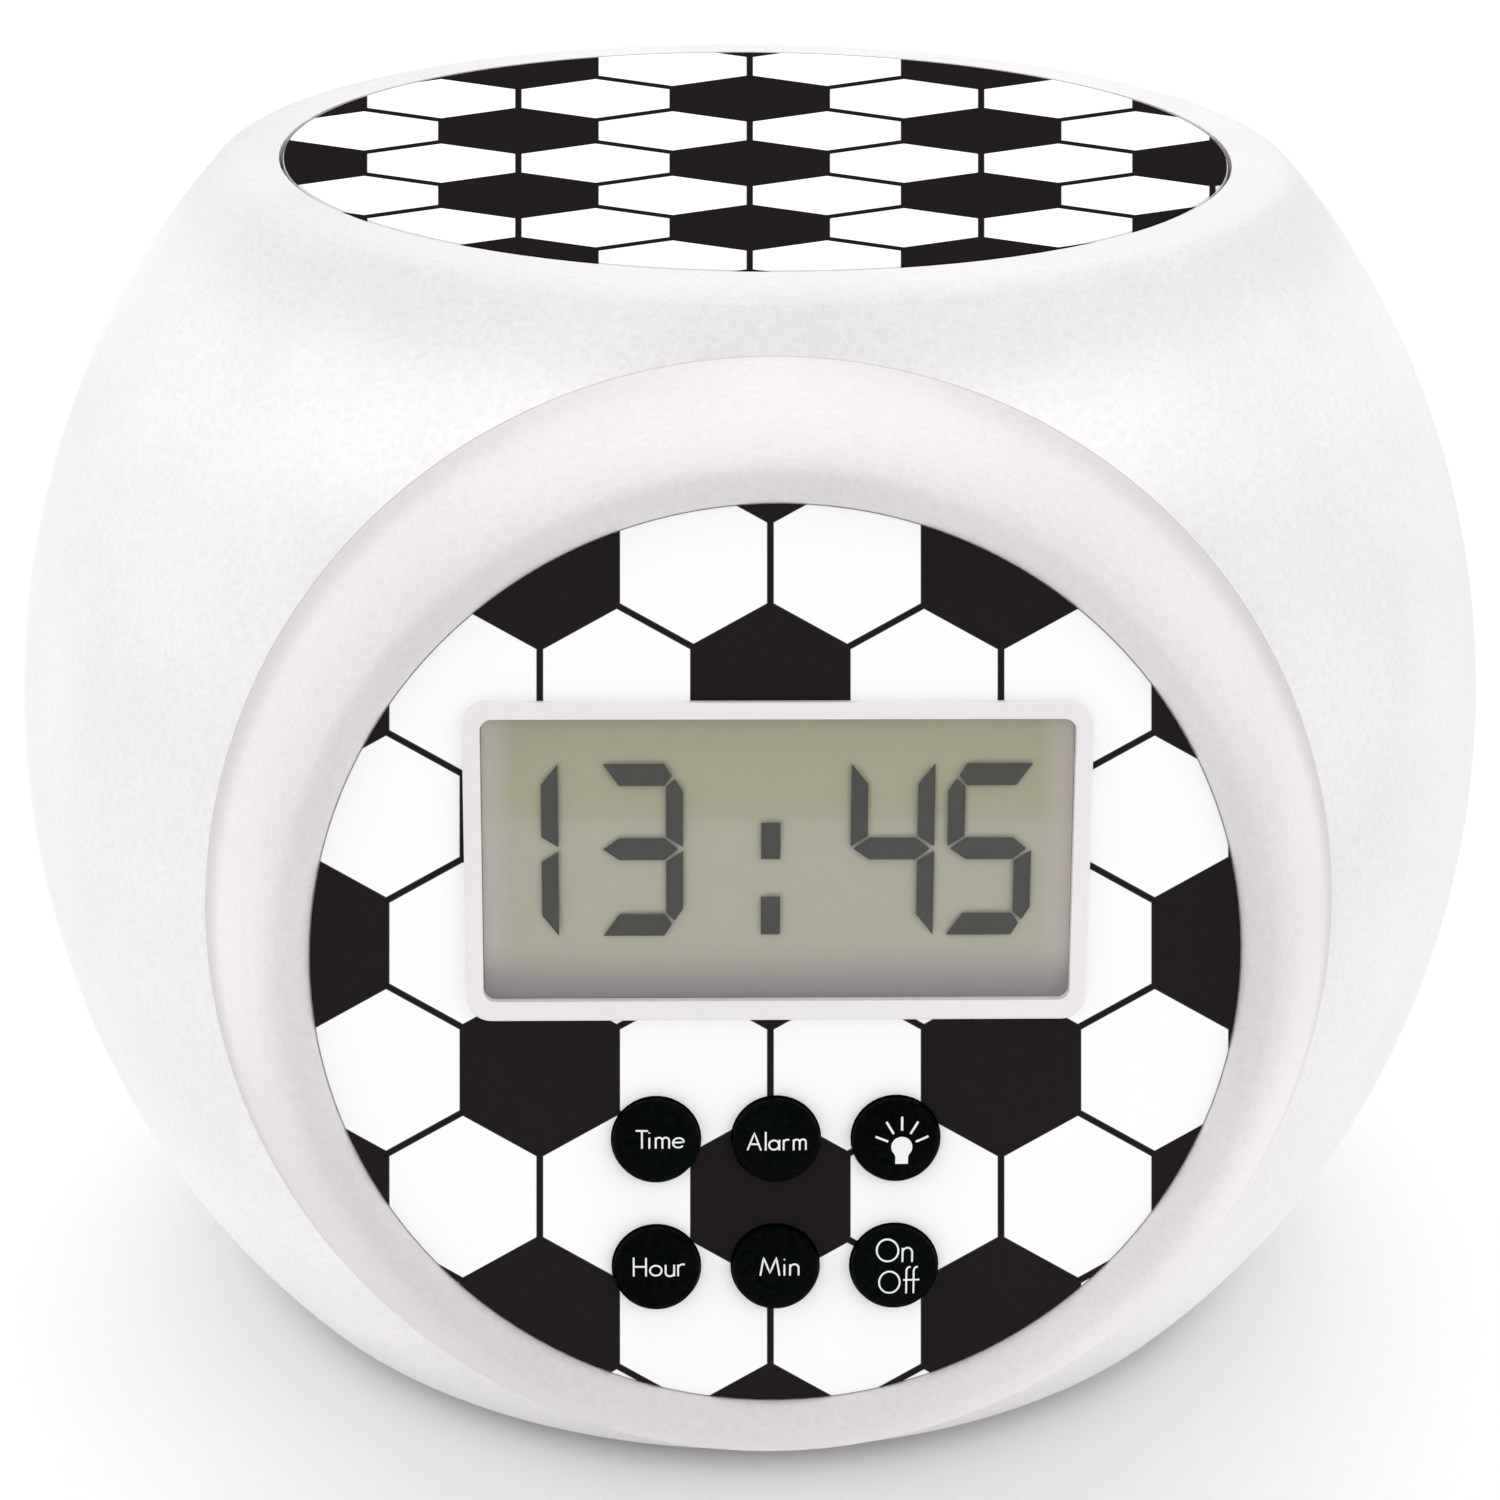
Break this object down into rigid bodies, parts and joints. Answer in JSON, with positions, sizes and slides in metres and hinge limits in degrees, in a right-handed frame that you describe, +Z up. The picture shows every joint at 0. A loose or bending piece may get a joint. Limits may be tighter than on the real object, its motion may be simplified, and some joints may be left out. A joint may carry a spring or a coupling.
{
  "type": "projection alarm clock",
  "caption": "Egg-shaped white table alarm clock with a tilted round dial, rectangular display, round keys, press-top snooze and a rear time projector.",
  "frame": {"origin": "on the table under the middle of the overall box", "axes": "+Z up, -Y out of the dial's side, +X to the right of someone who faces the dial"},
  "size_m": [0.14, 0.1672, 0.109],
  "materials": {
    "case": "white moulded plastic, fine spark-eroded texture",
    "bezel": "warm white moulded plastic, satin",
    "frame": "off-white moulded plastic, satin",
    "print": "printed plastic film, black and white hexagon pattern",
    "clear": "clear moulded acrylic",
    "lcd": "liquid crystal glass with dark segments",
    "keycap": "black, fine matte, white legend",
    "inner_plastic": "plain moulded plastic",
    "diffuser": "milky acrylic",
    "zebra": "layered conductive rubber",
    "board": "green solder resist on glass fibre",
    "dark_plastic": "black moulded",
    "plunger": "moulded",
    "steel": "zinc plated",
    "nickel": "nickel plated",
    "cell": "printed sleeve",
    "feet": "soft rubber",
    "projector": "dark grey, satin"
  },
  "bodies": {
    "case": {"backlight_block": "diffuser", "barrel_screws": "steel", "base_plate": "case", "base_screws": "steel", "battery_box": "inner_plastic", "battery_cells": "cell", "battery_contacts": "nickel", "battery_springs": "nickel", "bezel_ring": "bezel", "board_chips": "dark_plastic", "board_screws": "steel", "case_screws": "steel", "condenser_lens": "clear", "connector_strips": "zebra", "dial_label": "print", "dial_plate": "inner_plastic", "display_cradle": "inner_plastic", "display_frame": "frame", "display_panel": "lcd", "display_slide": "lcd", "display_window": "clear", "front_shell": "case", "key_switches": "dark_plastic", "lamp_board": "board", "main_board": "board", "projector_barrel": "projector", "projector_lamp": "clear", "rear_shell": "case", "rubber_feet": "feet", "snooze_board": "board", "snooze_springs": "steel", "snooze_switch": "dark_plastic", "snooze_tray": "inner_plastic", "speaker_clamp": "inner_plastic", "speaker_cone": "dark_plastic", "speaker_frame": "steel", "tray_screws": "steel"},
    "snooze": {"snooze_cap": "case", "snooze_label": "print", "snooze_plunger": "plunger", "snooze_stops": "steel"},
    "key_hour": {"button_hour": "keycap", "plunger_hour": "plunger"},
    "key_minute": {"button_minute": "keycap", "plunger_minute": "plunger"},
    "key_on_off": {"button_on_off": "keycap", "plunger_on_off": "plunger"},
    "key_time": {"button_time": "keycap", "plunger_time": "plunger"},
    "key_alarm": {"button_alarm": "keycap", "plunger_alarm": "plunger"},
    "key_light": {"button_light": "keycap", "plunger_light": "plunger"},
    "focus": {"focus_ring": "projector"},
    "carrier": {"lens_carrier": "projector", "projector_lens": "clear"},
    "cover": {"battery_cover": "case"}
  },
  "joints": [
    {"name": "snooze_press", "type": "slide", "parent": "case", "child": "snooze", "axis": [0, 0, -1], "range_m": [0, 0.0015], "stiffness_N_per_m": 1200, "springref_m": -0.0015, "deforming": ["snooze_springs"]},
    {"name": "press_hour", "type": "slide", "parent": "case", "child": "key_hour", "axis": [0, 0.979, -0.2038], "range_m": [0, 0.0008], "stiffness_N_per_m": 1000, "springref_m": -0.0004},
    {"name": "press_minute", "type": "slide", "parent": "case", "child": "key_minute", "axis": [0, 0.979, -0.2038], "range_m": [0, 0.0008], "stiffness_N_per_m": 1000, "springref_m": -0.0004},
    {"name": "press_on_off", "type": "slide", "parent": "case", "child": "key_on_off", "axis": [0, 0.979, -0.2038], "range_m": [0, 0.0008], "stiffness_N_per_m": 1000, "springref_m": -0.0004},
    {"name": "press_time", "type": "slide", "parent": "case", "child": "key_time", "axis": [0, 0.979, -0.2038], "range_m": [0, 0.0008], "stiffness_N_per_m": 1000, "springref_m": -0.0004},
    {"name": "press_alarm", "type": "slide", "parent": "case", "child": "key_alarm", "axis": [0, 0.979, -0.2038], "range_m": [0, 0.0008], "stiffness_N_per_m": 1000, "springref_m": -0.0004},
    {"name": "press_light", "type": "slide", "parent": "case", "child": "key_light", "axis": [0, 0.979, -0.2038], "range_m": [0, 0.0008], "stiffness_N_per_m": 1000, "springref_m": -0.0004},
    {"name": "focus_turn", "type": "hinge", "parent": "case", "child": "focus", "pos_m": [0, 0.06568, 0.08], "axis": [0, 0.8192, 0.5736], "range_deg": [0, 120]},
    {"name": "focus_slide", "type": "slide", "parent": "case", "child": "carrier", "axis": [0, 0.8192, 0.5736], "range_m": [0, 0.003]},
    {"name": "cover_pull", "type": "slide", "parent": "case", "child": "cover", "axis": [0, 1, 0], "range_m": [0, 0.012]}
  ],
  "couplings": [
    {"joint": "focus_turn", "follows": "focus_slide", "rad_per_m": 698}
  ]
}
